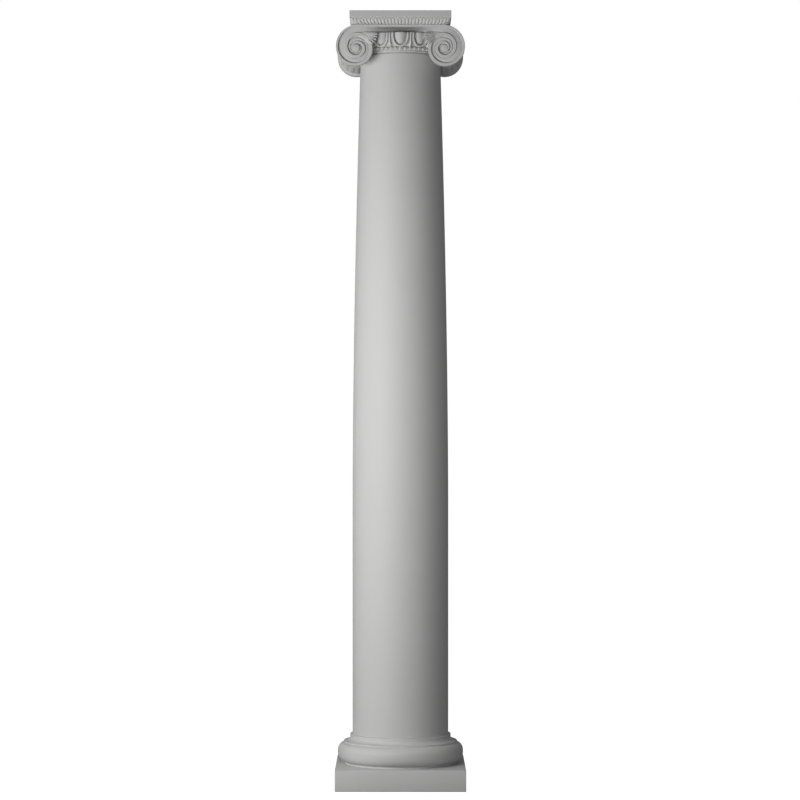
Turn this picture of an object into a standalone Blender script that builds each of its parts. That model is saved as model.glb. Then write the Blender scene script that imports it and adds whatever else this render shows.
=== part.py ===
"""Ionic column: square plinth, turned base, tapered shaft and carved capital.

Metres, +Z up. The origin is the middle of the plinth's underside. The two volute
faces of the capital look along -Y and +Y, the leafed bolsters look along -X and +X.
"""
import math

import bmesh
import bpy
from mathutils import Matrix, Vector

# Whole column
TOTAL_HEIGHT = 2.4384
FIT_GAP = 0.0003
ROUND_STEPS = 48

# Plinth
PLINTH_SIDE = 0.4094
PLINTH_HEIGHT = 0.067

# Base, from the plinth up to the ring at the foot of the shaft
BASE_FOOT_RADIUS = 0.190
BASE_FOOT_HEIGHT = 0.0075
TORUS_RADIUS = 0.199
TORUS_HEIGHT = 0.054
TORUS_FULLNESS = 2.4
TORUS_STEPS = 10
FILLET_RADIUS = 0.179
FILLET_HEIGHT = 0.009
COVE_HEIGHT = 0.0105
COVE_STEPS = 4
RING_LIP = 0.0075
RING_HEIGHT = 0.0035

# Shaft
SHAFT_RADIUS = 0.15235
NECK_RADIUS = 0.1267
SHAFT_STRAIGHT_TOP = 0.83
ENTASIS_LENGTH = 1.56
SHAFT_BENDS = 8

# Capital, sizes from the abacus down to the neck
RIM_DROP = 0.0235
ECHINUS_RIM_RADIUS = 0.1495
ECHINUS_HEIGHT = 0.045
ECHINUS_FOOT_LIP = 0.0095
RIM_BAND = 0.004
BOWL_STEPS = 4
CORE_INSET = 0.010
BEAD_RADIUS = 0.0055
BEAD_STEPS = 4
COLLAR_HEIGHT = 0.0075
COLLAR_LIP = 0.0045
SOCKET_DEPTH = 0.004

# Abacus
ABACUS_SIDE = 0.3188
ABACUS_HEIGHT = 0.0424
ABACUS_FILLET_HEIGHT = 0.020
ABACUS_STEP_HEIGHT = 0.005
ABACUS_STEP_INSET = 0.0025
ABACUS_FOOT_INSET = 0.015
OVOLO_STEPS = 5

# Volutes and the channelled band between them. The spiral's outer edge is drawn from its
# radius at each quarter turn, from the top of the volute to the rim of the eye.
EYE_SPACING = 0.2756
SPIRAL_RADII = (0.0722, 0.0645, 0.0556, 0.0503, 0.0475, 0.0370,
                0.0310, 0.0268, 0.0208, 0.0155, 0.0127, 0.0107)
SPIRAL_STEPS = 14
EYE_RISE = 0.0012
EYE_STEPS = 12
FACE_SPACING = 0.282
CHANNEL_DEPTH = 0.0045
BAND_FILLET = 0.006
FILLET_SWELL = 0.0035
FILLET_WIDEST = 1.1
VOLUTE_PLATE = 0.007
VOLUTE_STEP = 0.001

# Eggs and darts of the echinus, and the palmettes in its corners
EGG_COUNT = 14
EGG_HALF_WIDTH = 0.018
EGG_DROP = 0.037
EGG_DEPTH = 0.021
EGG_HEART_IN = 0.019
EGG_CUT = 0.002
EGG_TOP_DROP = 0.0012
SHELL_TOP_DROP = 0.0005
SHELL_WIDTH = 0.0052
GROOVE_WIDTH = 0.0040
GROOVE_DEPTH = 0.006
DART_WIDTH = 0.005
DART_DEPTH = 0.014
DART_LENGTH = 0.039
DART_IN = 0.0085
PALMETTE_LOBES = 5
PALMETTE_LENGTH = 0.037
PALMETTE_LOBE_WIDTH = 0.0080
PALMETTE_DEPTH = 0.010
PALMETTE_DROOP = 3
PALMETTE_FAN = 52
PALMETTE_ROOT_IN = 0.0258
PALMETTE_ROOT_UP = 0.046
PALMETTE_SUNK = 0.004
PALMETTE_ROOT_GAP = 0.003
PALMETTE_WEB_LENGTH = 0.037
PALMETTE_WEB_DEPTH = 0.050
PALMETTE_WEB_STEP = 0.0013
PALMETTE_WEB_ANCHOR = 0.2

# Bolsters along the sides
BOLSTER_LEAVES = 14
LEAF_RELIEF = 0.08
BELT_HALF_WIDTH = 0.015
BELT_LIFT = 0.06
WAIST = 0.70
ROLL_END = 0.97
ROLL_FLARE = 1.6
ROLL_STATIONS = (0.02, 0.25, 0.5, 0.75, 1.0)

COMPOSITE_GREY = (0.56, 0.56, 0.555, 1.0)

# Levels and places that follow from the sizes above
ABACUS_FOOT = TOTAL_HEIGHT - ABACUS_HEIGHT
EYE_HEIGHT = ABACUS_FOOT - SPIRAL_RADII[0]
EYE_RADIUS = SPIRAL_RADII[-1] + VOLUTE_STEP
EYE_X = EYE_SPACING / 2
SPIRAL_TURNS = (len(SPIRAL_RADII) - 1) / 4
FACE_Y = FACE_SPACING / 2
CHANNEL_Y = FACE_Y - CHANNEL_DEPTH
ECHINUS_RIM = ABACUS_FOOT - RIM_DROP
ECHINUS_FOOT = ECHINUS_RIM - ECHINUS_HEIGHT
ECHINUS_FOOT_RADIUS = NECK_RADIUS + ECHINUS_FOOT_LIP
NECK_HEIGHT = ECHINUS_FOOT - 2 * BEAD_RADIUS - COLLAR_HEIGHT
OVERLAP = 0.002


def clear_scene():
    for old in list(bpy.data.objects):
        bpy.data.objects.remove(old, do_unlink=True)


def new_collection(name):
    made = bpy.data.collections.new(name)
    bpy.context.scene.collection.children.link(made)
    return made


def composite_material(name):
    """Matt grey moulded composite, primed but not painted."""
    material = bpy.data.materials.new(name)
    material.use_nodes = True
    shader = material.node_tree.nodes["Principled BSDF"]
    shader.inputs["Base Color"].default_value = COMPOSITE_GREY
    shader.inputs["Roughness"].default_value = 0.6
    shader.inputs["Metallic"].default_value = 0.0
    material.diffuse_color = COMPOSITE_GREY
    return material


def link_mesh(name, mesh, collection):
    made = bpy.data.objects.new(name, mesh)
    collection.objects.link(made)
    return made


def mesh_from_bmesh(name, shape, collection):
    mesh = bpy.data.meshes.new(name)
    bmesh.ops.recalc_face_normals(shape, faces=shape.faces)
    shape.to_mesh(mesh)
    shape.free()
    return link_mesh(name, mesh, collection)


def box(name, size, centre, collection, turn=None):
    """Box of the given size, turned about its own middle by a matrix."""
    shape = bmesh.new()
    bmesh.ops.create_cube(shape, size=1.0)
    bmesh.ops.scale(shape, vec=Vector(size), verts=shape.verts)
    if turn:
        bmesh.ops.transform(shape, matrix=turn, verts=shape.verts)
    bmesh.ops.translate(shape, vec=Vector(centre), verts=shape.verts)
    return mesh_from_bmesh(name, shape, collection)


def turned(name, profile, collection, steps=ROUND_STEPS, first_angle=0.0):
    """Closed solid of revolution from (radius, height) points, listed from the top down."""
    mesh = bpy.data.meshes.new(name)
    verts = [(r * math.cos(first_angle), r * math.sin(first_angle), z) for r, z in profile]
    edges = [(i, i + 1) for i in range(len(profile) - 1)]
    mesh.from_pydata(verts, edges, [])
    made = link_mesh(name, mesh, collection)
    screw = made.modifiers.new("turn", "SCREW")
    screw.axis = "Z"
    screw.steps = steps
    screw.render_steps = steps
    screw.use_merge_vertices = True
    screw.merge_threshold = 0.00002
    screw.use_smooth_shade = False
    return made


def plain_mesh(made):
    """Replace a curve or a modified object by its evaluated, welded mesh."""
    bpy.context.view_layer.update()
    graph = bpy.context.evaluated_depsgraph_get()
    mesh = bpy.data.meshes.new_from_object(made.evaluated_get(graph))
    shape = bmesh.new()
    shape.from_mesh(mesh)
    bmesh.ops.remove_doubles(shape, verts=shape.verts, dist=0.00001)
    shape.to_mesh(mesh)
    shape.free()
    name = made.name
    collection = made.users_collection[0]
    place = made.matrix_world.copy()
    bpy.data.objects.remove(made, do_unlink=True)
    result = link_mesh(name, mesh, collection)
    result.matrix_world = place
    return result


def plate(name, outline, y_from, y_to, collection):
    """Flat outline of (x, z) points, extruded along Y."""
    curve = bpy.data.curves.new(name, "CURVE")
    curve.dimensions = "2D"
    curve.fill_mode = "BOTH"
    curve.extrude = abs(y_to - y_from) / 2
    spline = curve.splines.new("POLY")
    spline.points.add(len(outline) - 1)
    for point, (x, z) in zip(spline.points, outline):
        point.co = (x, z, 0.0, 1.0)
    spline.use_cyclic_u = True
    made = link_mesh(name, curve, collection)
    upright = Matrix.Rotation(math.pi / 2, 4, "X")
    made.matrix_world = Matrix.Translation((0, (y_from + y_to) / 2, 0)) @ upright
    return plain_mesh(made)


def cut_ellipsoid(name, radii, centre, collection, turn=None, top=None, segments=(12, 8)):
    """Ellipsoid that is cut off flat at the height top."""
    shape = bmesh.new()
    bmesh.ops.create_uvsphere(shape, u_segments=segments[0], v_segments=segments[1], radius=1.0)
    bmesh.ops.scale(shape, vec=Vector(radii), verts=shape.verts)
    if turn:
        bmesh.ops.transform(shape, matrix=turn, verts=shape.verts)
    bmesh.ops.translate(shape, vec=Vector(centre), verts=shape.verts)
    if top is not None:
        everything = shape.verts[:] + shape.edges[:] + shape.faces[:]
        bmesh.ops.bisect_plane(shape, geom=everything, plane_co=(0, 0, top), plane_no=(0, 0, 1),
                               clear_outer=True)
        rim = [edge for edge in shape.edges if edge.is_boundary]
        bmesh.ops.holes_fill(shape, edges=rim, sides=0)
    return mesh_from_bmesh(name, shape, collection)


def join_with(target, operation, collection, solver="EXACT"):
    """Boolean of the target with every object in a collection."""
    modifier = target.modifiers.new(operation.lower(), "BOOLEAN")
    modifier.operation = operation
    modifier.operand_type = "COLLECTION"
    modifier.collection = collection
    modifier.solver = solver


def shaft_radius(z):
    """Straight up to SHAFT_STRAIGHT_TOP, then a curve that is tangent to it (entasis)."""
    rise = max(0.0, z - SHAFT_STRAIGHT_TOP)
    full_rise = NECK_HEIGHT - SHAFT_STRAIGHT_TOP
    bend = math.hypot(rise, ENTASIS_LENGTH) - ENTASIS_LENGTH
    full_bend = math.hypot(full_rise, ENTASIS_LENGTH) - ENTASIS_LENGTH
    return SHAFT_RADIUS - (SHAFT_RADIUS - NECK_RADIUS) * bend / full_bend


def base_top():
    return (PLINTH_HEIGHT + BASE_FOOT_HEIGHT + TORUS_HEIGHT + FILLET_HEIGHT
            + COVE_HEIGHT + RING_HEIGHT)


def shaft_profile(top, bottom, margin):
    levels = [bottom]
    if bottom < SHAFT_STRAIGHT_TOP:
        levels.append(SHAFT_STRAIGHT_TOP)
    start = levels[-1]
    levels += [start + (top - start) * (i + 1) / SHAFT_BENDS for i in range(SHAFT_BENDS)]
    levels.reverse()
    sides = [(shaft_radius(z) + margin, z) for z in levels]
    return [(0.0, top)] + sides + [(0.0, bottom)]


def build_plinth(collection):
    return box("plinth", (PLINTH_SIDE, PLINTH_SIDE, PLINTH_HEIGHT), (0, 0, PLINTH_HEIGHT / 2), collection)


def base_profile():
    """Ring, cove, fillet and torus above a low round foot, from the top down."""
    ring_radius = SHAFT_RADIUS + RING_LIP
    z = base_top()
    points = [(0.0, z), (ring_radius, z)]
    z -= RING_HEIGHT
    points.append((ring_radius, z))
    flare = FILLET_RADIUS - ring_radius
    for i in range(1, COVE_STEPS + 1):
        angle = math.pi / 2 * i / COVE_STEPS
        points.append((FILLET_RADIUS - flare * math.cos(angle), z - COVE_HEIGHT * math.sin(angle)))
    z -= COVE_HEIGHT + FILLET_HEIGHT
    points.append((FILLET_RADIUS, z))
    half = TORUS_HEIGHT / 2
    for i in range(1, TORUS_STEPS + 1):
        angle = math.pi / 2 - math.pi * i / TORUS_STEPS
        out = math.cos(angle) ** (2 / TORUS_FULLNESS) if i < TORUS_STEPS else 0.0
        up = math.copysign(abs(math.sin(angle)) ** (2 / TORUS_FULLNESS), math.sin(angle))
        radius = TORUS_RADIUS - half + half * out
        if radius > FILLET_RADIUS or angle < 0:
            points.append((max(radius, BASE_FOOT_RADIUS), z - half + half * up))
    foot = PLINTH_HEIGHT + FIT_GAP
    if BASE_FOOT_RADIUS < points[-1][0]:
        points.append((BASE_FOOT_RADIUS, PLINTH_HEIGHT + BASE_FOOT_HEIGHT))
    points += [(BASE_FOOT_RADIUS, foot), (0.0, foot)]
    return points


def shade_round(made):
    made.data.shade_smooth()
    made.data.set_sharp_from_angle(angle=math.radians(35))
    return made


def build_base(collection):
    return shade_round(plain_mesh(turned("base", base_profile(), collection)))


def build_shaft(collection):
    bottom = base_top() + FIT_GAP
    top = NECK_HEIGHT + SOCKET_DEPTH - FIT_GAP
    return shade_round(plain_mesh(turned("shaft", shaft_profile(top, bottom, 0.0), collection)))


def spiral_radius(turns):
    """Outer edge of the volute's fillet, in turns from its top outwards: a smooth curve
    through the radii at the quarter turns."""
    last = len(SPIRAL_RADII) - 1
    quarter = min(int(turns * 4), last - 1)
    share = turns * 4 - quarter
    nearby = [min(max(quarter + step, 0), last) for step in (-1, 0, 1, 2)]
    before, here, after, beyond = (SPIRAL_RADII[index] for index in nearby)
    slope_in = (after - before) / 2
    slope_out = (beyond - here) / 2
    rest = 3 * (after - here) - 2 * slope_in - slope_out
    cube = slope_in + slope_out - 2 * (after - here)
    return here + slope_in * share + rest * share ** 2 + cube * share ** 3


def fillet_width(turns):
    """The fillet leaves the band narrow, is widest after about a turn and ends thin at the eye."""
    return BAND_FILLET + FILLET_SWELL * math.sin(math.pi / 2 * turns / FILLET_WIDEST) ** 2


def spiral_point(side, turns, radius):
    """Point of the spiral in the face: it leaves the top outwards, away from the axis."""
    angle = 2 * math.pi * turns
    return (side * (EYE_X + radius * math.sin(angle)), EYE_HEIGHT + radius * math.cos(angle))


def volute_outline(side, shrink):
    count = SPIRAL_STEPS
    return [spiral_point(side, i / count, spiral_radius(i / count) - shrink) for i in range(count + 1)]


def spiral_fillet_outline(side):
    """Both edges of the raised fillet."""
    count = round(SPIRAL_TURNS * SPIRAL_STEPS)
    outer = []
    inner = []
    for i in range(count + 1):
        turns = SPIRAL_TURNS * i / count
        outer.append(spiral_point(side, turns, spiral_radius(turns)))
        inner.append(spiral_point(side, turns, spiral_radius(turns) - fillet_width(turns)))
    return outer + inner[::-1]


def corner_name(face, side):
    return f"{'front' if face < 0 else 'back'}_{'left' if side < 0 else 'right'}"


def build_volutes(parts):
    """Four spirals, each a sunk plate with a raised fillet and an eye."""
    for face in (-1, 1):
        for side in (-1, 1):
            name = "volute_" + corner_name(face, side)
            back = face * (CHANNEL_Y - VOLUTE_PLATE)
            plate(name + "_plate", volute_outline(side, VOLUTE_STEP), back, face * CHANNEL_Y, parts)
            root = face * (CHANNEL_Y - OVERLAP)
            plate(name + "_fillet", spiral_fillet_outline(side), root, face * FACE_Y, parts)
            eye = [spiral_point(side, (i + 0.5) / EYE_STEPS, EYE_RADIUS) for i in range(EYE_STEPS)]
            plate(name + "_eye", eye, root, face * (FACE_Y + EYE_RISE), parts)


def band_foot():
    return EYE_HEIGHT + spiral_radius(1.0) - VOLUTE_STEP / 2


def build_band(parts):
    """Block under the abacus with a channel between two fillets on the front and back."""
    floor = band_foot()
    top = ABACUS_FOOT + OVERLAP
    height = top - floor
    length = EYE_SPACING + OVERLAP
    box("band_block", (length, 2 * CHANNEL_Y, height), (0, 0, floor + height / 2), parts)
    fillet_height = BAND_FILLET + OVERLAP
    box("band_top_fillet", (length, FACE_SPACING, fillet_height), (0, 0, top - fillet_height / 2), parts)


def bolster_station(y):
    """Share of the volute's outline and leaf relief at a distance from the middle."""
    reach = (abs(y) - BELT_HALF_WIDTH) / (CHANNEL_Y - BELT_HALF_WIDTH)
    if reach <= 0:
        return WAIST + BELT_LIFT, 0.0
    share = WAIST + (ROLL_END - WAIST) * reach ** ROLL_FLARE
    relief = LEAF_RELIEF * (0.25 + 0.75 * math.sin(math.pi * min(reach, 1.0)))
    return share, relief


def build_bolster(side, parts):
    """Waisted roll between two volutes, with leaves that spread to the rims and a belt."""
    outer = CHANNEL_Y - VOLUTE_PLATE / 2
    half = [BELT_HALF_WIDTH + (outer - BELT_HALF_WIDTH) * reach for reach in ROLL_STATIONS]
    stations = [-y for y in reversed(half)] + [-BELT_HALF_WIDTH, BELT_HALF_WIDTH] + half
    around = 2 * BOLSTER_LEAVES
    shape = bmesh.new()
    rings = []
    for y in stations:
        share, relief = bolster_station(y)
        ring = []
        for i in range(around):
            turns = i / around
            radius = spiral_radius(turns) * share * (1 - (relief if i % 2 else 0.0))
            x, z = spiral_point(side, turns, radius)
            ring.append(shape.verts.new((x, y, z)))
        rings.append(ring)
    for near, far in zip(rings[:-1], rings[1:]):
        for i in range(around):
            after = (i + 1) % around
            shape.faces.new((near[i], near[after], far[after], far[i]))
    shape.faces.new(rings[0])
    shape.faces.new(rings[-1][::-1])
    name = f"bolster_{'left' if side < 0 else 'right'}"
    return mesh_from_bmesh(name, shape, parts)


def build_palmettes(parts):
    """Half palmettes from the volutes over the outer eggs, each on a web behind its lobes."""
    front = CHANNEL_Y - PALMETTE_SUNK
    for face in (-1, 1):
        for side in (-1, 1):
            name = "palmette_" + corner_name(face, side)
            root = Vector((side * (EYE_X - PALMETTE_ROOT_IN), face * front, EYE_HEIGHT + PALMETTE_ROOT_UP))
            anchor = root.lerp(Vector((side * EYE_X, root.y, EYE_HEIGHT)), PALMETTE_WEB_ANCHOR)
            ceiling = band_foot() + OVERLAP
            web = [(anchor.x, anchor.z), (anchor.x, ceiling), (root.x - side * PALMETTE_LENGTH, ceiling)]
            for lobe in range(PALMETTE_LOBES):
                droop = math.radians(PALMETTE_DROOP + PALMETTE_FAN * lobe / (PALMETTE_LOBES - 1))
                along = Vector((-side * math.cos(droop), 0, -math.sin(droop)))
                centre = root + along * (PALMETTE_ROOT_GAP + PALMETTE_LENGTH / 2)
                turn = Matrix.Rotation(math.atan2(along.x, along.z), 4, "Y")
                radii = (PALMETTE_LOBE_WIDTH / 2, PALMETTE_DEPTH, PALMETTE_LENGTH / 2)
                cut_ellipsoid(f"{name}_lobe_{lobe}", radii, centre, parts, turn=turn, segments=(6, 6))
                tip = root + along * PALMETTE_WEB_LENGTH
                web.append((tip.x, tip.z))
            web_front = front - PALMETTE_WEB_STEP
            plate(name + "_web", web, face * (web_front - PALMETTE_WEB_DEPTH), face * web_front, parts)


def visible_egg_angles():
    """Eggs between the volutes; the others lie inside the bolsters."""
    step = 2 * math.pi / EGG_COUNT
    reach = EYE_X - spiral_radius(0.75)
    angles = []
    for face in (-1, 1):
        for i in range(-EGG_COUNT // 4, EGG_COUNT // 4 + 1):
            angle = face * math.pi / 2 + i * step
            if abs(ECHINUS_RIM_RADIUS * math.cos(angle)) < reach:
                angles.append(angle)
    return angles


def echinus_profile():
    """Core, bowl, bead and collar, from the top down."""
    core = NECK_RADIUS - CORE_INSET
    points = [(0.0, ABACUS_FOOT + OVERLAP), (core, ABACUS_FOOT + OVERLAP), (core, ECHINUS_RIM),
              (ECHINUS_RIM_RADIUS, ECHINUS_RIM)]
    for i in range(BOWL_STEPS + 1):
        angle = math.pi / 2 * i / BOWL_STEPS
        drop = (ECHINUS_HEIGHT - RIM_BAND) * math.sin(angle)
        swell = (ECHINUS_RIM_RADIUS - ECHINUS_FOOT_RADIUS) * (1 - math.cos(angle))
        points.append((ECHINUS_RIM_RADIUS - swell, ECHINUS_RIM - RIM_BAND - drop))
    collar = NECK_RADIUS + COLLAR_LIP
    bead_height = ECHINUS_FOOT - BEAD_RADIUS
    for i in range(BEAD_STEPS + 1):
        angle = math.pi / 2 - math.pi * i / BEAD_STEPS
        points.append((collar + BEAD_RADIUS * math.cos(angle), bead_height + BEAD_RADIUS * math.sin(angle)))
    return points + [(collar, NECK_HEIGHT), (0.0, NECK_HEIGHT)]


def build_echinus(parts, shells, sockets):
    """Turned bowl with a bead and a collar, then shells, their sockets, eggs and darts."""
    bowl = turned("echinus", echinus_profile(), parts)
    join_with(bowl, "UNION", shells)
    join_with(bowl, "DIFFERENCE", sockets)
    heart = ECHINUS_RIM - EGG_CUT
    margin = GROOVE_WIDTH + SHELL_WIDTH
    shell = (EGG_DEPTH - VOLUTE_STEP, EGG_HALF_WIDTH + margin, EGG_DROP + margin / 2)
    socket = (GROOVE_DEPTH * 2, EGG_HALF_WIDTH + GROOVE_WIDTH, EGG_DROP + GROOVE_WIDTH / 2)
    egg = (EGG_DEPTH, EGG_HALF_WIDTH, EGG_DROP)
    for number, angle in enumerate(visible_egg_angles()):
        out = Vector((math.cos(angle), math.sin(angle), 0))
        turn = Matrix.Rotation(angle, 4, "Z")
        place = out * (ECHINUS_RIM_RADIUS - EGG_HEART_IN) + Vector((0, 0, heart))
        socket_place = out * (ECHINUS_RIM_RADIUS - GROOVE_DEPTH / 2) + Vector((0, 0, heart))
        cut_ellipsoid(f"shell_{number}", shell, place, shells, turn=turn, top=ECHINUS_RIM - SHELL_TOP_DROP)
        cut_ellipsoid(f"socket_{number}", socket, socket_place, sockets, turn=turn)
        cut_ellipsoid(f"egg_{number}", egg, place, parts, turn=turn, top=ECHINUS_RIM - EGG_TOP_DROP)
    lean = math.atan2(ECHINUS_RIM_RADIUS - ECHINUS_FOOT_RADIUS, ECHINUS_HEIGHT)
    for face in (-1, 1):
        for side in (-1, 1):
            angle = face * (math.pi / 2 - side * math.pi / EGG_COUNT)
            out = Vector((math.cos(angle), math.sin(angle), 0))
            turn = Matrix.Rotation(angle, 4, "Z") @ Matrix.Rotation(lean, 4, "Y")
            place = out * (ECHINUS_RIM_RADIUS - DART_IN) + Vector((0, 0, ECHINUS_RIM - ECHINUS_HEIGHT / 2))
            size = (DART_DEPTH, DART_WIDTH, DART_LENGTH)
            box("dart_" + corner_name(face, side), size, place, parts, turn=turn)


def square_turned(name, profile, collection):
    """Square block whose profile is (half side, height), from the top down."""
    diagonal = [(half * math.sqrt(2), z) for half, z in profile]
    return turned(name, diagonal, collection, steps=4, first_angle=math.pi / 4)


def abacus_profile():
    half = ABACUS_SIDE / 2
    z = TOTAL_HEIGHT
    points = [(0.0, z), (half, z), (half, z - ABACUS_FILLET_HEIGHT)]
    z -= ABACUS_FILLET_HEIGHT
    step = half - ABACUS_STEP_INSET
    points += [(step, z), (step, z - ABACUS_STEP_HEIGHT)]
    z -= ABACUS_STEP_HEIGHT
    drop = z - ABACUS_FOOT
    run = ABACUS_FOOT_INSET - ABACUS_STEP_INSET
    for i in range(1, OVOLO_STEPS + 1):
        angle = math.pi / 2 * i / OVOLO_STEPS
        points.append((step - run * (1 - math.cos(angle)), z - drop * math.sin(angle)))
    points.append((0.0, ABACUS_FOOT))
    return points


def build_capital(collection, parts, shells, sockets, cutters):
    """One casting: the abacus joined with everything that hangs under it."""
    capital = square_turned("capital", abacus_profile(), collection)
    build_band(parts)
    build_volutes(parts)
    for side in (-1, 1):
        build_bolster(side, parts)
    build_palmettes(parts)
    build_echinus(parts, shells, sockets)
    room_foot = EYE_HEIGHT - 2 * SPIRAL_RADII[0]
    room_profile = shaft_profile(NECK_HEIGHT + SOCKET_DEPTH, room_foot, FIT_GAP)
    shaft_room = turned("shaft_room", room_profile, cutters)
    join_with(capital, "UNION", parts, solver="MANIFOLD")
    join_with(capital, "DIFFERENCE", cutters, solver="MANIFOLD")
    for helper in [*parts.objects, *shells.objects, *sockets.objects, shaft_room]:
        helper.hide_render = True
        helper.display_type = "WIRE"
    return capital


def build_column():
    clear_scene()
    column = new_collection("ionic_column")
    parts = new_collection("capital_parts")
    shells = new_collection("egg_shells")
    sockets = new_collection("egg_sockets")
    cutters = new_collection("cutters")
    pieces = [
        build_plinth(column),
        build_base(column),
        build_shaft(column),
        build_capital(column, parts, shells, sockets, cutters),
    ]
    for piece in pieces:
        piece.data.materials.append(composite_material(piece.name + "_composite"))
    bpy.context.view_layer.update()


build_column()
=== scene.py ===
import math

import bmesh
import bpy
import numpy as np
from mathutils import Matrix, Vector


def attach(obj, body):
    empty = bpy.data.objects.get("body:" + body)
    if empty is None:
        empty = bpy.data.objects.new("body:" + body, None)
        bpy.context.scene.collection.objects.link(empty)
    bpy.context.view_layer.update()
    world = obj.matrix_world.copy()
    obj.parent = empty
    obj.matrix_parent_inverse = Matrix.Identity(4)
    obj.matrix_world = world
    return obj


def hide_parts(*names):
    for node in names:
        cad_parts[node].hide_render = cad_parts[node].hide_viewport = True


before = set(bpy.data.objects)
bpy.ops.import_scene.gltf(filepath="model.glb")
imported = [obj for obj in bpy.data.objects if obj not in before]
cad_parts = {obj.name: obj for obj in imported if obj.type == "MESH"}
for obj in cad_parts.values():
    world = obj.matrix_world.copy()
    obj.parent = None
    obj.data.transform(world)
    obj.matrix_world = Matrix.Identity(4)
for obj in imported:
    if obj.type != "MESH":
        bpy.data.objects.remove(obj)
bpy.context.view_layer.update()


# The column is photographed level, from 8.5 m away and a little under half its height,
# so its capital is seen from below and the top of its plinth from above.
camera_lens = bpy.data.cameras.new("camera")
camera_lens.lens = 120.06
camera_lens.sensor_width = 36
camera_lens.shift_y = 0.0319
camera = bpy.data.objects.new("camera", camera_lens)
camera.location = (-0.0014, -8.5, 1.14)
camera.rotation_euler = (math.pi / 2, 0, 0)
bpy.context.scene.collection.objects.link(camera)
bpy.context.scene.camera = camera


# One big softbox stands 42 degrees left of the camera, a little over half as high as the column. A
# small one stands nearer in front, weak ones fill both sides, and floor and surround are white.
def softbox(name, angle, distance, height, width, tall, power):
    """Area lamp at an angle left of the camera's side that faces the column."""
    lamp = bpy.data.lights.new(name, "AREA")
    lamp.shape = "RECTANGLE"
    lamp.size = width
    lamp.size_y = tall
    lamp.energy = power
    turn = math.radians(angle)
    stand = bpy.data.objects.new(name, lamp)
    stand.location = (-distance * math.sin(turn), -distance * math.cos(turn), height)
    stand.rotation_euler = (math.pi / 2, 0, -turn)
    stand.visible_camera = False
    bpy.context.scene.collection.objects.link(stand)


softbox("key_softbox", 42, 2.8, 1.35, 2.1, 1.4, 61)
softbox("front_softbox", 6, 1.7, 1.25, 0.8, 0.8, 5)
softbox("left_fill", 85, 3.0, 1.35, 1.0, 1.6, 10)
softbox("right_fill", -70, 3.0, 1.35, 1.0, 1.6, 4)

surround = bpy.data.worlds.new("surround")
surround.use_nodes = True
world_nodes = surround.node_tree.nodes
seen = world_nodes.new("ShaderNodeLightPath")
white = world_nodes.new("ShaderNodeBackground")
white.inputs["Color"].default_value = (1, 1, 1, 1)
white.inputs["Strength"].default_value = 1.0
dim = world_nodes["Background"]
dim.inputs["Color"].default_value = (1, 1, 1, 1)
dim.inputs["Strength"].default_value = 0.125
choice = world_nodes.new("ShaderNodeMixShader")
world_links = surround.node_tree.links
world_links.new(seen.outputs["Is Camera Ray"], choice.inputs["Fac"])
world_links.new(dim.outputs[0], choice.inputs[1])
world_links.new(white.outputs[0], choice.inputs[2])
world_links.new(choice.outputs[0], world_nodes["World Output"].inputs["Surface"])
bpy.context.scene.world = surround
bpy.context.scene.view_settings.view_transform = "Standard"

floor_mesh = bpy.data.meshes.new("floor")
floor_mesh.from_pydata([(-30, -30, 0), (30, -30, 0), (30, 30, 0), (-30, 30, 0)], [], [(0, 1, 2, 3)])
floor_finish = bpy.data.materials.new("pale_floor")
floor_finish.use_nodes = True
floor_shader = floor_finish.node_tree.nodes["Principled BSDF"]
floor_shader.inputs["Base Color"].default_value = (0.3, 0.3, 0.3, 1)
floor_shader.inputs["Roughness"].default_value = 0.9
floor_shader.inputs["Specular IOR Level"].default_value = 0.0
floor_shader.inputs["Emission Color"].default_value = (1, 1, 1, 1)
floor_shader.inputs["Emission Strength"].default_value = 1.0
floor_mesh.materials.append(floor_finish)
floor = bpy.data.objects.new("floor", floor_mesh)
floor.visible_diffuse = False
floor.visible_glossy = False
bpy.context.scene.collection.objects.link(floor)


# Plinth: a plain square slab of moulded composite, filled and sanded, with crisp edges.
# It lies on the floor, and the round base is glued on top of it.
PLINTH_SIDE = 0.4094
PLINTH_HEIGHT = 0.067
PLINTH_EDGE = 0.0012


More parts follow.
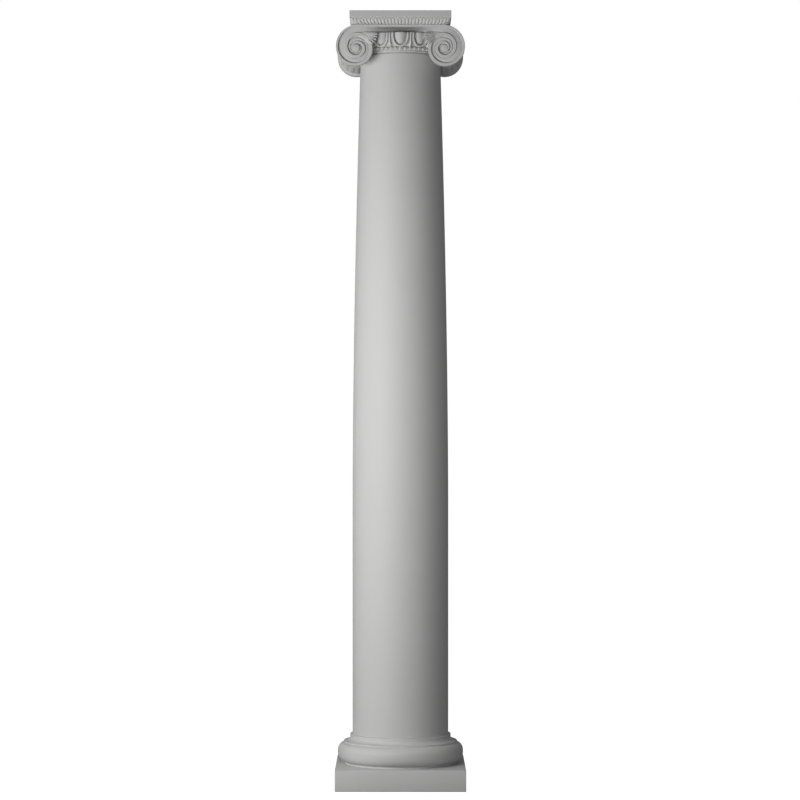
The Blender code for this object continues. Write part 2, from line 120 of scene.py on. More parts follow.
def composite(name, tone, mottle=0.02, grain=0.00006, grain_size=0.0035, rough=0.58):
    """Grey cast composite: cloudy in tone, with fine sanding grain and tiny pits."""
    finish = bpy.data.materials.new(name)
    finish.use_nodes = True
    nodes = finish.node_tree.nodes
    links = finish.node_tree.links
    shader = nodes["Principled BSDF"]
    shader.inputs["Specular IOR Level"].default_value = 0.35
    place = nodes.new("ShaderNodeTexCoord")

    clouds = nodes.new("ShaderNodeTexNoise")
    clouds.inputs["Scale"].default_value = 7.0
    clouds.inputs["Detail"].default_value = 4.0
    links.new(place.outputs["Object"], clouds.inputs["Vector"])
    specks = nodes.new("ShaderNodeTexNoise")
    specks.inputs["Scale"].default_value = 420.0
    specks.inputs["Detail"].default_value = 2.0
    links.new(place.outputs["Object"], specks.inputs["Vector"])
    both = nodes.new("ShaderNodeMix")
    both.inputs[0].default_value = 0.35
    links.new(clouds.outputs["Fac"], both.inputs[2])
    links.new(specks.outputs["Fac"], both.inputs[3])
    colours = nodes.new("ShaderNodeValToRGB")
    low = tone * (1 - mottle)
    high = tone * (1 + mottle)
    colours.color_ramp.elements[0].position = 0.3
    colours.color_ramp.elements[0].color = (low, low, low * 0.992, 1)
    colours.color_ramp.elements[1].position = 0.7
    colours.color_ramp.elements[1].color = (high, high, high * 0.996, 1)
    links.new(both.outputs[0], colours.inputs["Fac"])
    links.new(colours.outputs["Color"], shader.inputs["Base Color"])

    sheen = nodes.new("ShaderNodeMapRange")
    sheen.inputs["From Min"].default_value = 0.3
    sheen.inputs["From Max"].default_value = 0.7
    sheen.inputs["To Min"].default_value = rough - 0.05
    sheen.inputs["To Max"].default_value = rough + 0.05
    links.new(clouds.outputs["Fac"], sheen.inputs["Value"])
    links.new(sheen.outputs["Result"], shader.inputs["Roughness"])

    sanding = nodes.new("ShaderNodeTexNoise")
    sanding.inputs["Scale"].default_value = 1 / grain_size
    sanding.inputs["Detail"].default_value = 5.0
    links.new(place.outputs["Object"], sanding.inputs["Vector"])
    relief = nodes.new("ShaderNodeBump")
    relief.inputs["Strength"].default_value = 1.0
    relief.inputs["Distance"].default_value = grain
    links.new(sanding.outputs["Fac"], relief.inputs["Height"])
    links.new(relief.outputs["Normal"], shader.inputs["Normal"])
    return finish


def mesh_piece(name, shape, finish, crease=38):
    """Object from a closed shape, welded, faced outwards and smooth but for its creases."""
    bmesh.ops.remove_doubles(shape, verts=shape.verts, dist=0.00002)
    bmesh.ops.dissolve_degenerate(shape, dist=0.00001, edges=shape.edges)
    bmesh.ops.recalc_face_normals(shape, faces=shape.faces)
    mesh = bpy.data.meshes.new(name)
    shape.to_mesh(mesh)
    shape.free()
    mesh.shade_smooth()
    mesh.set_sharp_from_angle(angle=math.radians(crease))
    mesh.materials.append(finish)
    piece = bpy.data.objects.new(name, mesh)
    bpy.context.scene.collection.objects.link(piece)
    return piece


slab = bmesh.new()
bmesh.ops.create_cube(slab, size=1.0)
bmesh.ops.scale(slab, vec=(PLINTH_SIDE, PLINTH_SIDE, PLINTH_HEIGHT), verts=slab.verts)
bmesh.ops.translate(slab, vec=(0, 0, PLINTH_HEIGHT / 2), verts=slab.verts)
bmesh.ops.bevel(slab, geom=slab.edges[:], offset=PLINTH_EDGE, segments=3, profile=0.5, affect="EDGES")
plinth = mesh_piece("plinth_slab", slab, composite("plinth_composite", 0.56))
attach(plinth, "root")
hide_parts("plinth")


# Base: one round moulding of the same composite, cast in a turned mould: a low foot, a full torus,
# a fillet, a smooth cove and a ring. It is glued to the plinth and the shaft stands on its ring.
FOOT_RADIUS = 0.178
FOOT_HEIGHT = 0.0065
TORUS_RADIUS = 0.1995
TORUS_HEIGHT = 0.062
TORUS_FULLNESS = 2.4
FILLET_RADIUS = 0.180
FILLET_HEIGHT = 0.0035
COVE_HEIGHT = 0.013
RING_RADIUS = 0.15985
RING_HEIGHT = 0.0085
JOINT = 0.0003
TORUS_STEPS = 48
COVE_STEPS = 12
BASE_TOP = PLINTH_HEIGHT + FOOT_HEIGHT + TORUS_HEIGHT + FILLET_HEIGHT + COVE_HEIGHT + RING_HEIGHT
BASE_MIDDLE = 0.1


def eased(profile, ease=0.0005, sharp=25):
    """The profile with its corners slightly rounded, as casting and sanding leave them."""
    points = [Vector(point) for point in profile]
    result = [points[0]]
    for before, corner, after in zip(points[:-2], points[1:-1], points[2:]):
        back = before - corner
        ahead = after - corner
        room = min(back.length, ahead.length) * 0.45
        if room < 0.00005 or math.degrees(math.pi - back.angle(ahead)) < sharp:
            result.append(corner)
            continue
        near = min(ease, room)
        back.normalize()
        ahead.normalize()
        first = corner + back * near
        last = corner + ahead * near
        middle = (first + last) / 2 * 0.45 + corner * 0.55
        result += [first, middle, last]
    return [tuple(point) for point in result + [points[-1]]]


def skinned(rings, ends="closed"):
    """Shape through rings of points; its ends are closed with faces or joined to each other."""
    rings = np.asarray(rings, dtype=float)
    rows, around = rings.shape[:2]
    shape = bmesh.new()
    verts = [shape.verts.new(point) for point in rings.reshape(-1, 3).tolist()]
    last = rows if ends == "joined" else rows - 1
    for row in range(last):
        here = row * around
        over = (row + 1) % rows * around
        for i in range(around):
            after = (i + 1) % around
            shape.faces.new((verts[here + i], verts[here + after], verts[over + after], verts[over + i]))
    if ends == "closed":
        shape.faces.new(verts[:around][::-1])
        shape.faces.new(verts[-around:])
    return shape


def turned_rings(profile, steps=192):
    """Rings of a round piece from (radius, height) points."""
    angle = np.arange(steps) * (2 * np.pi / steps)
    return [np.stack([radius * np.cos(angle), radius * np.sin(angle), np.full(steps, z)], axis=-1)
            for radius, z in profile]


foot = PLINTH_HEIGHT + JOINT
torus_foot = PLINTH_HEIGHT + FOOT_HEIGHT
half_torus = TORUS_HEIGHT / 2
base_profile = [(FOOT_RADIUS, foot), (FOOT_RADIUS, torus_foot)]
for i in range(1, TORUS_STEPS):
    angle = math.pi * (i / TORUS_STEPS - 0.5)
    radius = TORUS_RADIUS - half_torus + half_torus * math.cos(angle) ** (2 / TORUS_FULLNESS)
    rise = math.copysign(abs(math.sin(angle)) ** (2 / TORUS_FULLNESS), angle)
    limit = FOOT_RADIUS if angle < 0 else FILLET_RADIUS
    if radius > limit:
        base_profile.append((radius, torus_foot + half_torus * (1 + rise)))
fillet_foot = base_profile[-1][1]
fillet_top = torus_foot + TORUS_HEIGHT + FILLET_HEIGHT
base_profile += [(FILLET_RADIUS, fillet_foot), (FILLET_RADIUS, fillet_top)]
flare = FILLET_RADIUS - RING_RADIUS
for i in range(COVE_STEPS + 1):
    angle = math.pi / 2 * (1 - i / COVE_STEPS)
    rise = COVE_HEIGHT * (1 - math.sin(angle))
    base_profile.append((FILLET_RADIUS - flare * math.cos(angle), fillet_top + rise))
base_profile += [(RING_RADIUS, BASE_TOP - RING_HEIGHT), (RING_RADIUS, BASE_TOP), (BASE_MIDDLE, BASE_TOP)]
base_shape = skinned(turned_rings(eased(base_profile)))
base = mesh_piece("base_moulding", base_shape, composite("base_composite", 0.56))
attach(base, "root")
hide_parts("base")


# Shaft: a hollow tube spun from marble dust and resin, sanded smooth. It is straight for its lower
# third and then draws in on a long curve. It stands on the base and runs up into the capital.
SHAFT_RADIUS = 0.15235
NECK_RADIUS = 0.1267
NECK_HEIGHT = 2.309
STRAIGHT_TOP = 0.83
ENTASIS_LENGTH = 1.56
SOCKET_DEPTH = 0.004
REBATE_HEIGHT = 0.0006
REBATE_DEPTH = 0.004
REBATE_SLOPE = 0.0002
SHAFT_STEPS = 40
STRAIGHT_RINGS = (0.4, 0.6)


def shaft_radius(z):
    """Straight up to STRAIGHT_TOP, then a curve that is tangent to it."""
    rise = max(0.0, z - STRAIGHT_TOP)
    bend = math.hypot(rise, ENTASIS_LENGTH) - ENTASIS_LENGTH
    full_bend = math.hypot(NECK_HEIGHT - STRAIGHT_TOP, ENTASIS_LENGTH) - ENTASIS_LENGTH
    return SHAFT_RADIUS - (SHAFT_RADIUS - NECK_RADIUS) * bend / full_bend


shaft_foot = BASE_TOP + JOINT
shaft_top = NECK_HEIGHT + SOCKET_DEPTH - JOINT
rebate = NECK_HEIGHT - REBATE_HEIGHT
levels = [shaft_foot, *STRAIGHT_RINGS]
levels += [STRAIGHT_TOP + (rebate - STRAIGHT_TOP) * i / SHAFT_STEPS for i in range(SHAFT_STEPS + 1)]
shaft_profile = [(shaft_radius(z), z) for z in levels]
shaft_profile += [(shaft_radius(z) - REBATE_DEPTH, z) for z in (rebate + REBATE_SLOPE, shaft_top)]
shaft_shape = skinned(turned_rings(shaft_profile))
shaft_finish = composite("shaft_composite", 0.56, mottle=0.018, grain=0.00004, grain_size=0.005)
shaft = mesh_piece("shaft_tube", shaft_shape, shaft_finish)
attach(shaft, "root")
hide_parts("shaft")


# Abacus: the square top of the cast capital, with a plain fillet, a step with a row of dashes and an
# ovolo carved with small tongues. The capital comes out of one rubber mould, so it has no joints.
TOP = 2.4384
ABACUS_SIDE = 0.3188
ABACUS_FOOT = 2.396
ABACUS_FILLET = 0.020
STEP_HEIGHT = 0.005
STEP_INSET = 0.0025
OVOLO_INSET = 0.015
TONGUES = 29
TONGUE_POINTS = 12
TONGUE_DEPTH = 0.0065
TONGUE_HALF = 0.34
TONGUE_ROUNDS = 0.55
TONGUE_FOOT = 0.93
TONGUE_CROWN = 0.4
TONGUE_SHALLOW = 0.25
TONGUE_FULL_AT = 0.8
OVOLO_STEPS = 21
DASH_HALF = 0.32
DASH_DEPTH = 0.0012
DASH_MARGIN = 0.0010
DASH_SLOPE = 0.0002
ABACUS_EDGE = 0.0006
CORNER_BLUNT = 0.018
CORNER_BLUNT_TOP = 0.2
CORNER_UNCUT = 1.5

carved_finish = composite("capital_composite", 0.56, mottle=0.025, grain=0.00008, grain_size=0.003,
                          rough=0.6)


def tongue_relief(phase, down):
    """How far the ovolo is cut in at a phase of the tongue and a share of the way down it."""
    if down > TONGUE_FOOT:
        return np.zeros_like(phase)
    close = max(down - TONGUE_ROUNDS, 0.0) / (TONGUE_FOOT - TONGUE_ROUNDS)
    half = TONGUE_HALF * max(1 - close ** 4, 0.0) ** 0.25
    across = np.abs(phase) / max(half, 1e-4)
    crown = np.sqrt(np.clip(1 - across ** 2, 0, 1))
    full = min(down / TONGUE_FULL_AT, 1.0) ** 2
    deep = TONGUE_DEPTH * (TONGUE_SHALLOW + (1 - TONGUE_SHALLOW) * full)
    return deep * np.where(across < 1, TONGUE_CROWN * (1 - crown), 1.0)


def plain(phase):
    """No cut at all."""
    return np.zeros_like(phase)


def dashes(phase):
    """Shallow cut of the row of dashes."""
    return np.where(np.abs(phase) < DASH_HALF, DASH_DEPTH, 0.0)


def square_ring(half, z, cut, blunt=0.0):
    """One ring of the square, cut in along each side, with its corners blunted."""
    count = TONGUES * TONGUE_POINTS
    along = np.arange(count) / count
    inset = cut(along * TONGUES % 1 - 0.5)
    corner = np.minimum(along, 1 - along) * count
    inset = np.where(corner < CORNER_UNCUT, 0.0, inset)
    run = (2 * along - 1) * half
    shift = np.maximum(blunt - (half - np.abs(run)), 0.0) / 2
    run = run - np.sign(run) * shift
    out = half - inset - shift
    sides = []
    for quarter in range(4):
        turn = quarter * math.pi / 2
        x = run * math.cos(turn) + out * math.sin(turn)
        y = run * math.sin(turn) - out * math.cos(turn)
        sides.append(np.stack([x, y, np.full(count, z)], axis=-1))
    return np.concatenate(sides)


half_side = ABACUS_SIDE / 2
step_half = half_side - STEP_INSET
fillet_foot = TOP - ABACUS_FILLET
ovolo_top = fillet_foot - STEP_HEIGHT
ovolo_run = OVOLO_INSET - STEP_INSET
abacus_rings = [square_ring(step_half - ovolo_run, ABACUS_FOOT, plain, CORNER_BLUNT)]
for i in range(OVOLO_STEPS + 1):
    down = 1 - i / OVOLO_STEPS
    angle = math.pi / 2 * down
    half = step_half - ovolo_run * (1 - math.cos(angle))
    z = ovolo_top - (ovolo_top - ABACUS_FOOT) * math.sin(angle)
    blunt = CORNER_BLUNT * (CORNER_BLUNT_TOP + (1 - CORNER_BLUNT_TOP) * down)
    abacus_rings.append(square_ring(half, z, lambda phase: tongue_relief(phase, down), blunt))
dash_foot = ovolo_top + DASH_MARGIN
dash_top = fillet_foot - DASH_MARGIN
abacus_rings += [
    square_ring(step_half, ovolo_top, plain),
    square_ring(step_half, dash_foot, plain),
    square_ring(step_half, dash_foot + DASH_SLOPE, dashes),
    square_ring(step_half, dash_top, dashes),
    square_ring(step_half, dash_top + DASH_SLOPE, plain),
    square_ring(step_half, fillet_foot, plain),
    square_ring(half_side - ABACUS_EDGE, fillet_foot, plain),
    square_ring(half_side, fillet_foot + ABACUS_EDGE, plain),
    square_ring(half_side, TOP - ABACUS_EDGE, plain),
    square_ring(half_side - ABACUS_EDGE, TOP, plain),
]
abacus = mesh_piece("abacus", skinned(abacus_rings), carved_finish)
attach(abacus, "root")
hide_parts("capital")


# Volute faces: the front and the back of the capital. A channelled band under the abacus rolls up
# at each end into a scroll of a raised fillet and a hollow channel that winds to a round eye.
EYE_X = 0.1378
EYE_HEIGHT = 2.3238
FACE_Y = 0.141
FACE_BACK = 0.112
SPIRAL_RADII = (0.0722, 0.0645, 0.0556, 0.0503, 0.0475, 0.0370,
                0.0310, 0.0268, 0.0208, 0.0155, 0.0127, 0.0107)
SPIRAL_TURNS = 2.75
TURN_STEPS = 120
BAND_FILLET = 0.006
FILLET_SWELL = 0.0035
FILLET_WIDEST = 1.1
FILLET_POINTS = 4
BAND_DEPTH = 0.0045
BAND_COLUMNS = 60
BAND_DEEPENS = 0.125
BAND_SLOPE_TOP = 0.024
BAND_SLOPE_FOOT = 0.006
BAND_SLOPE_END = 0.52
BAND_GAP_DEPTH = 0.0240
GROOVE_DEPTH = 0.0080
GROOVE_RUN = 0.0065
GROOVE_POWER = 1.2
CHANNEL_END = 0.0036
CHANNEL_OPENS = 0.12
INNER_STARTS = 0.85
INNER_BY = 0.3
INNER_RUN = 0.0034
INNER_POWER = 8.0
INNER_END = 0.0034
FAR_STARTS = 0.35
FAR_BY = 0.15
FAR_GROOVE = 0.0030
FAR_RUN = 0.0028
STEPS_WIDTH = 0.006
NEAR_STEPS = (0.0, 0.0008, 0.0016, 0.0024, 0.0030, 0.0035, 0.0040, 0.0046)
FAR_SHARES = (0.25, 0.5, 0.7, 0.85, 1.0)
EDGE = 0.0006
WALL_DRAFT = 0.0004
FADE_WIDTH = 0.004
EYE_EDGE = SPIRAL_RADII[-1]
EYE_RISE = 0.0012
EYE_RINGS = ((0.93, 0.0), (0.8, 0.5), (0.6, 0.8), (0.35, 0.95))


def spiral_radius(turns):
    """Outer edge of the scroll's fillet, counted in turns from its top outwards: a smooth curve
    through the radii at the quarter turns."""
    last = len(SPIRAL_RADII) - 1
    quarter = min(int(turns * 4), last - 1)
    share = turns * 4 - quarter
    nearby = [min(max(quarter + step, 0), last) for step in (-1, 0, 1, 2)]
    before, here, after, beyond = (SPIRAL_RADII[index] for index in nearby)
    slope_in = (after - before) / 2
    slope_out = (beyond - here) / 2
    rest = 3 * (after - here) - 2 * slope_in - slope_out
    cube = slope_in + slope_out - 2 * (after - here)
    return here + slope_in * share + rest * share ** 2 + cube * share ** 3


def fillet_width(turns):
    """The fillet leaves the band narrow, is widest after about a turn and ends thin at the eye."""
    return BAND_FILLET + FILLET_SWELL * math.sin(math.pi / 2 * turns / FILLET_WIDEST) ** 2


def scroll_section(turns):
    """(radius, depth) points across the fillet and the channel, from the outer edge inwards: the
    channel is deepest beside its own fillet, and further in also beside the next whorl."""
    outer = spiral_radius(turns)
    inner = max(outer - fillet_width(turns), EYE_EDGE)
    if turns + 1 <= SPIRAL_TURNS:
        next_whorl = spiral_radius(turns + 1)
    else:
        next_whorl = EYE_EDGE
    full = min(1.0, (inner - next_whorl) / FADE_WIDTH)
    edge = min(EDGE, (outer - inner) * 0.3)
    start = inner - WALL_DRAFT * full
    end = next_whorl + WALL_DRAFT * full
    opened = min(turns / CHANNEL_OPENS, 1.0)
    inward = min(max((turns - INNER_STARTS) / INNER_BY, 0.0), 1.0)
    deep = BAND_DEPTH + (GROOVE_DEPTH - BAND_DEPTH) * opened
    shallow = BAND_DEPTH + (CHANNEL_END - BAND_DEPTH) * opened + (INNER_END - CHANNEL_END) * inward
    reach = GROOVE_RUN + (INNER_RUN - GROOVE_RUN) * inward
    power = GROOVE_POWER + (INNER_POWER - GROOVE_POWER) * inward
    beside = min(max((turns - FAR_STARTS) / FAR_BY, 0.0), 1.0)
    points = [(outer, edge), (outer - edge, 0.0), (inner + edge, 0.0), (inner, edge * full)]
    near = min(1.0, max((start - end) / STEPS_WIDTH, 0.0))
    run = max(near, 0.01)
    steps = [step * near for step in NEAR_STEPS]
    rest = start - end - steps[-1]
    steps += [steps[-1] + rest * share for share in FAR_SHARES]
    for step in steps:
        depth = shallow + (deep - shallow) * math.exp(-(step / (reach * run)) ** power)
        depth += FAR_GROOVE * beside * math.exp(-((start - end - step) / (FAR_RUN * run)) ** 2)
        points.append((start - step, depth * full))
    return points


def volute_face(name, face):
    """Closed mesh of one face: two mirrored scrolls and the band between them."""
    shape = bmesh.new()

    def vert(x, z, depth):
        return shape.verts.new((x, face * (FACE_Y - depth), z))

    rows = round(SPIRAL_TURNS * TURN_STEPS)
    outline = {}
    first_rows = {}
    for side in (-1, 1):
        scroll = []
        for i in range(rows + 1):
            turns = i / TURN_STEPS
            out = side * math.sin(2 * math.pi * turns)
            up = math.cos(2 * math.pi * turns)
            scroll.append([vert(side * EYE_X + radius * out, EYE_HEIGHT + radius * up, depth)
                           for radius, depth in scroll_section(turns)])
        ends = []
        eye_ring = [scroll[rows][0]]
        for i in range(rows + 1):
            if i + TURN_STEPS <= rows or i == rows:
                ends.append(scroll[min(i + TURN_STEPS, rows)][0])
                continue
            out = side * math.sin(2 * math.pi * i / TURN_STEPS)
            up = math.cos(2 * math.pi * i / TURN_STEPS)
            ends.append(vert(side * EYE_X + EYE_EDGE * out, EYE_HEIGHT + EYE_EDGE * up, EDGE))
            eye_ring.append(ends[-1])
        for i in range(rows):
            near = scroll[i] + [ends[i]]
            far = scroll[i + 1] + [ends[i + 1]]
            for k in range(len(near) - 1):
                shape.faces.new((near[k], near[k + 1], far[k + 1], far[k]))
        previous = eye_ring
        for share, rise in EYE_RINGS:
            ring = []
            for point in eye_ring:
                x = side * EYE_X + (point.co.x - side * EYE_X) * share
                z = EYE_HEIGHT + (point.co.z - EYE_HEIGHT) * share
                ring.append(vert(x, z, -EYE_RISE * rise))
            for i in range(len(ring)):
                after = (i + 1) % len(ring)
                shape.faces.new((previous[i], previous[after], ring[after], ring[i]))
            previous = ring
        shape.faces.new(previous)
        first_rows[side] = scroll[0] + [ends[0]]
        outline[side] = [scroll[i][0] for i in range(TURN_STEPS + 1)]

    columns = [first_rows[-1]]
    channel_top = first_rows[-1][FILLET_POINTS].co.z
    channel_foot = first_rows[-1][-1].co.z
    for j in range(1, BAND_COLUMNS):
        x = EYE_X * (2 * j / BAND_COLUMNS - 1)
        inward = min((EYE_X - abs(x)) / BAND_DEEPENS, 1.0)
        sunk = inward ** 2 * (3 - 2 * inward)
        column = []
        for k, point in enumerate(first_rows[-1]):
            depth = FACE_Y - abs(point.co.y)
            if k >= FILLET_POINTS:
                share = (channel_top - point.co.z) / (channel_top - channel_foot)
                slope = (BAND_SLOPE_FOOT - BAND_SLOPE_TOP) / BAND_SLOPE_END
                middle = BAND_GAP_DEPTH if share > BAND_SLOPE_END else BAND_SLOPE_TOP + slope * share
                depth += (middle - depth) * sunk
            column.append(vert(x, point.co.z, depth))
        columns.append(column)
    columns.append(first_rows[1])
    for near, far in zip(columns[:-1], columns[1:]):
        for k in range(len(near) - 1):
            shape.faces.new((near[k], near[k + 1], far[k + 1], far[k]))

    rim = outline[-1] + [column[-1] for column in columns[1:-1]]
    rim += outline[1][::-1] + [column[0] for column in columns[-2:0:-1]]
    back = [shape.verts.new((point.co.x, face * FACE_BACK, point.co.z)) for point in rim]
    for i in range(len(rim)):
        after = (i + 1) % len(rim)
        shape.faces.new((rim[i], rim[after], back[after], back[i]))
    shape.faces.new(back)
    return mesh_piece(name, shape, carved_finish)


for name, face in (("front_volutes", -1), ("back_volutes", 1)):
    volutes = volute_face(name, face)
    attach(volutes, "root")
    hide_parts("capital")


# Core: the body of the capital between the two faces, which carries the abacus. It is cast with them.
CORE_LAP = 0.001
CORE_DROP = 0.0004
CORE_FOOT = EYE_HEIGHT + spiral_radius(1.0) - CORE_DROP
core_shape = bmesh.new()
bmesh.ops.create_cube(core_shape, size=1.0)
core_height = ABACUS_FOOT + CORE_LAP - CORE_FOOT
core_size = (2 * (EYE_X - CORE_LAP), 2 * (FACE_BACK + CORE_LAP), core_height)
bmesh.ops.scale(core_shape, vec=core_size, verts=core_shape.verts)
bmesh.ops.translate(core_shape, vec=(0, 0, CORE_FOOT + core_height / 2), verts=core_shape.verts)
core = mesh_piece("capital_core", core_shape, carved_finish)
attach(core, "root")
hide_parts("capital")


# Bolsters: the sides of the scrolls, drawn in to a waist with a moulded belt. Long leaves with
# midribs spread from the belt to both rims. They are cast in one with the faces.
LEAVES = 14
LEAF_POINTS = 26
WAIST = 0.70
ROLL_END = 0.97
ROLL_FLARE = 1.6
ROLL_STEPS = 72
BELT_HALF = 0.015
BELT_LIFT = 0.06
BELT_FLAT = 0.55
BELT_BORDER_AT = 0.85
BELT_BORDER_WIDTH = 0.13
BELT_HUMP = 0.5
BELT_HUMP_HALF = 0.6
BELT_STEPS = 9
BOLSTER_END = 0.1335
LEAF_RELIEF = 0.075
RELIEF_AT_ENDS = 0.35
RELIEF_POWER = 0.8
LEAF_HALF = 0.45
LEAF_ROOT = 0.7
LEAF_WIDENS = 2.5
LEAF_TIP_STARTS = 0.80
LEAF_TIP_LENGTH = 0.205
LEAF_NICKS = 6
LEAF_NICK_DEPTH = 0.10
LEAF_BELLY = 0.35
RIB_HEIGHT = 0.28
RIB_WIDTH = 0.035
VEINS = 9
VEIN_SLANT = 1.6
VEIN_HEIGHT = 0.22
VEIN_STARTS = 0.12
VEIN_ENDS = 0.92


def bolster_radius(turns, y):
    """Radius of the leafed roll, as an array around it, at a distance along it."""
    rim = np.array([spiral_radius(t) for t in turns])
    reach = (abs(y) - BELT_HALF) / (BOLSTER_END - BELT_HALF)
    if reach <= 0:
        across = abs(y) / BELT_HALF
        border = math.exp(-((across - BELT_BORDER_AT) / BELT_BORDER_WIDTH) ** 2)
        hump = BELT_HUMP * max(0.0, 1 - (across / BELT_HUMP_HALF) ** 2)
        return rim * (WAIST + BELT_LIFT * (BELT_FLAT + (1 - BELT_FLAT) * max(border, hump)))
    share = WAIST + (ROLL_END - WAIST) * reach ** ROLL_FLARE
    phase = (turns * LEAVES + 0.5) % 1 - 0.5
    half = LEAF_HALF * min(1.0, LEAF_ROOT + LEAF_WIDENS * reach)
    if reach > LEAF_TIP_STARTS:
        half *= math.sqrt(max(0.0, 1 - ((reach - LEAF_TIP_STARTS) / LEAF_TIP_LENGTH) ** 2))
    half *= 1 - LEAF_NICK_DEPTH * abs(math.sin(LEAF_NICKS * math.pi * reach))
    across = np.abs(phase) / max(half, 1e-4)
    fold = np.where(across < 1, LEAF_BELLY * (across ** 2), 1.0)
    rib = RIB_HEIGHT * np.exp(-(phase / RIB_WIDTH) ** 2)
    veins = VEIN_HEIGHT * np.cos(2 * np.pi * (VEINS * reach - VEIN_SLANT * np.abs(phase)))
    veins = veins * (across < VEIN_ENDS) * (across > VEIN_STARTS)
    swell = math.sin(math.pi * min(reach, 1.0) ** RELIEF_POWER) ** RELIEF_POWER
    depth = LEAF_RELIEF * (RELIEF_AT_ENDS + (1 - RELIEF_AT_ENDS) * swell)
    return rim * share * (1 - depth * (fold - np.where(across < 1, rib + veins, 0.0) * 0.5))


for name, side in (("left_bolster", -1), ("right_bolster", 1)):
    turns = np.arange(LEAVES * LEAF_POINTS + 1) / (LEAVES * LEAF_POINTS)
    around = 2 * np.pi * turns
    leafed = [BELT_HALF + (BOLSTER_END - BELT_HALF) * (i + 0.5) / ROLL_STEPS for i in range(ROLL_STEPS)]
    leafed.append(BOLSTER_END)
    belt = [BELT_HALF * i / BELT_STEPS for i in range(-BELT_STEPS, BELT_STEPS + 1)]
    rings = []
    for y in [-y for y in leafed[::-1]] + belt + leafed:
        radius = bolster_radius(turns, y)
        x = side * (EYE_X + radius * np.sin(around))
        z = EYE_HEIGHT + radius * np.cos(around)
        rings.append(np.stack([x, np.full_like(x, y), z], axis=-1))
    bolster = mesh_piece(name, skinned(rings), carved_finish, crease=50)
    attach(bolster, "root")
    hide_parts("capital")


# Echinus: the round cushion under the band, carved with eggs in their shells and darts between
# them. It is cast with the capital, above a ring of beads.
EGGS = 14
EGG_POINTS = 84
RIM_RADIUS = 0.1495
ECHINUS_FOOT = 2.3275
ECHINUS_RIM = 2.3725
ECHINUS_FOOT_RADIUS = 0.1362
EGG_TOP = 0.0013
EGG_HALF_WIDTH = 0.018
EGG_DROP = 0.0345
EGG_DEPTH = 0.021
EGG_HEART_IN = 0.019
EGG_POWER_ALONG = 2.2
EGG_POWER_DOWN = 3.2
EGG_POWER = 2.6
EGG_BELLY_ALONG = 0.6
EGG_BELLY_DOWN = 0.75
GROOVE = 0.0042
EGG_GROOVE_DEPTH = 0.0090
SHELL = 0.0052
SHELL_RISE = 0.0010
SHELL_IN = 0.0008
GROUND_DEPTH = 0.0048
GROUND_FOOT_DEPTH = 0.0095
DART_HALF = 0.0018
BARB_HALF = 0.0046
BARB_TOP = 0.028
BARB_FOOT = 0.039
DART_RIDGE = 0.0008
DART_FALL = 0.0024
RIM_STRAIGHT = 0.004
ECHINUS_STEPS = 62
ECHINUS_BORE = 0.118


def bowl_radius(drop):
    """Plain ovolo of the echinus, at a drop below its rim."""
    share = min(max((drop - RIM_STRAIGHT) / (ECHINUS_RIM - ECHINUS_FOOT - RIM_STRAIGHT), 0.0), 1.0)
    swell = 1 - math.sqrt(1 - share ** 2)
    return RIM_RADIUS - (RIM_RADIUS - ECHINUS_FOOT_RADIUS) * swell


def dart_half(drop):
    """Half the width of a dart: a thin stem that opens into a barb above the beads."""
    if drop < BARB_TOP:
        return DART_HALF
    opens = BARB_HALF - DART_HALF
    if drop < BARB_FOOT:
        return DART_HALF + opens * (drop - BARB_TOP) / (BARB_FOOT - BARB_TOP)
    return BARB_HALF - opens * (drop - BARB_FOOT) / (ECHINUS_RIM - ECHINUS_FOOT - BARB_FOOT)


def carved_radius(along, drop):
    """Radius of the carved echinus, at a distance along from an egg's middle and a drop."""
    bowl = bowl_radius(drop)
    wide = np.abs(along) / EGG_HALF_WIDTH
    low = max(drop - EGG_TOP, 0.0) / EGG_DROP
    power = np.maximum(wide ** EGG_POWER_ALONG + low ** EGG_POWER_DOWN, 1e-6)
    size = power ** (1 / EGG_POWER)
    slope = size / power / EGG_POWER
    slope_along = slope * EGG_POWER_ALONG * wide ** (EGG_POWER_ALONG - 1) / EGG_HALF_WIDTH
    slope_down = slope * EGG_POWER_DOWN * low ** (EGG_POWER_DOWN - 1) / EGG_DROP
    outside = (size - 1) / np.maximum(np.hypot(slope_along, slope_down), 1.0)
    belly = np.clip(1 - EGG_BELLY_ALONG * wide ** 2 - EGG_BELLY_DOWN * low ** 2, 0.02, 1)
    egg = RIM_RADIUS - EGG_HEART_IN + EGG_DEPTH * np.sqrt(belly)
    lip = np.clip((outside - GROOVE) / SHELL, 0, 1)
    shell = bowl + SHELL_RISE * (1 - (2 * lip - 1) ** 2) - SHELL_IN
    from_dart = math.pi * RIM_RADIUS / EGGS - np.abs(along)
    half = dart_half(drop)
    dart = bowl + DART_RIDGE - DART_FALL * np.clip(from_dart / half, 0, 1)
    radius = np.where(outside < 0, egg, bowl - EGG_GROOVE_DEPTH)
    radius = np.where(outside > GROOVE, shell, radius)
    down = drop / (ECHINUS_RIM - ECHINUS_FOOT)
    ground = GROUND_DEPTH + (GROUND_FOOT_DEPTH - GROUND_DEPTH) * down ** 2
    radius = np.where(outside > GROOVE + SHELL, bowl - ground, radius)
    return np.where(from_dart < half, dart, radius)


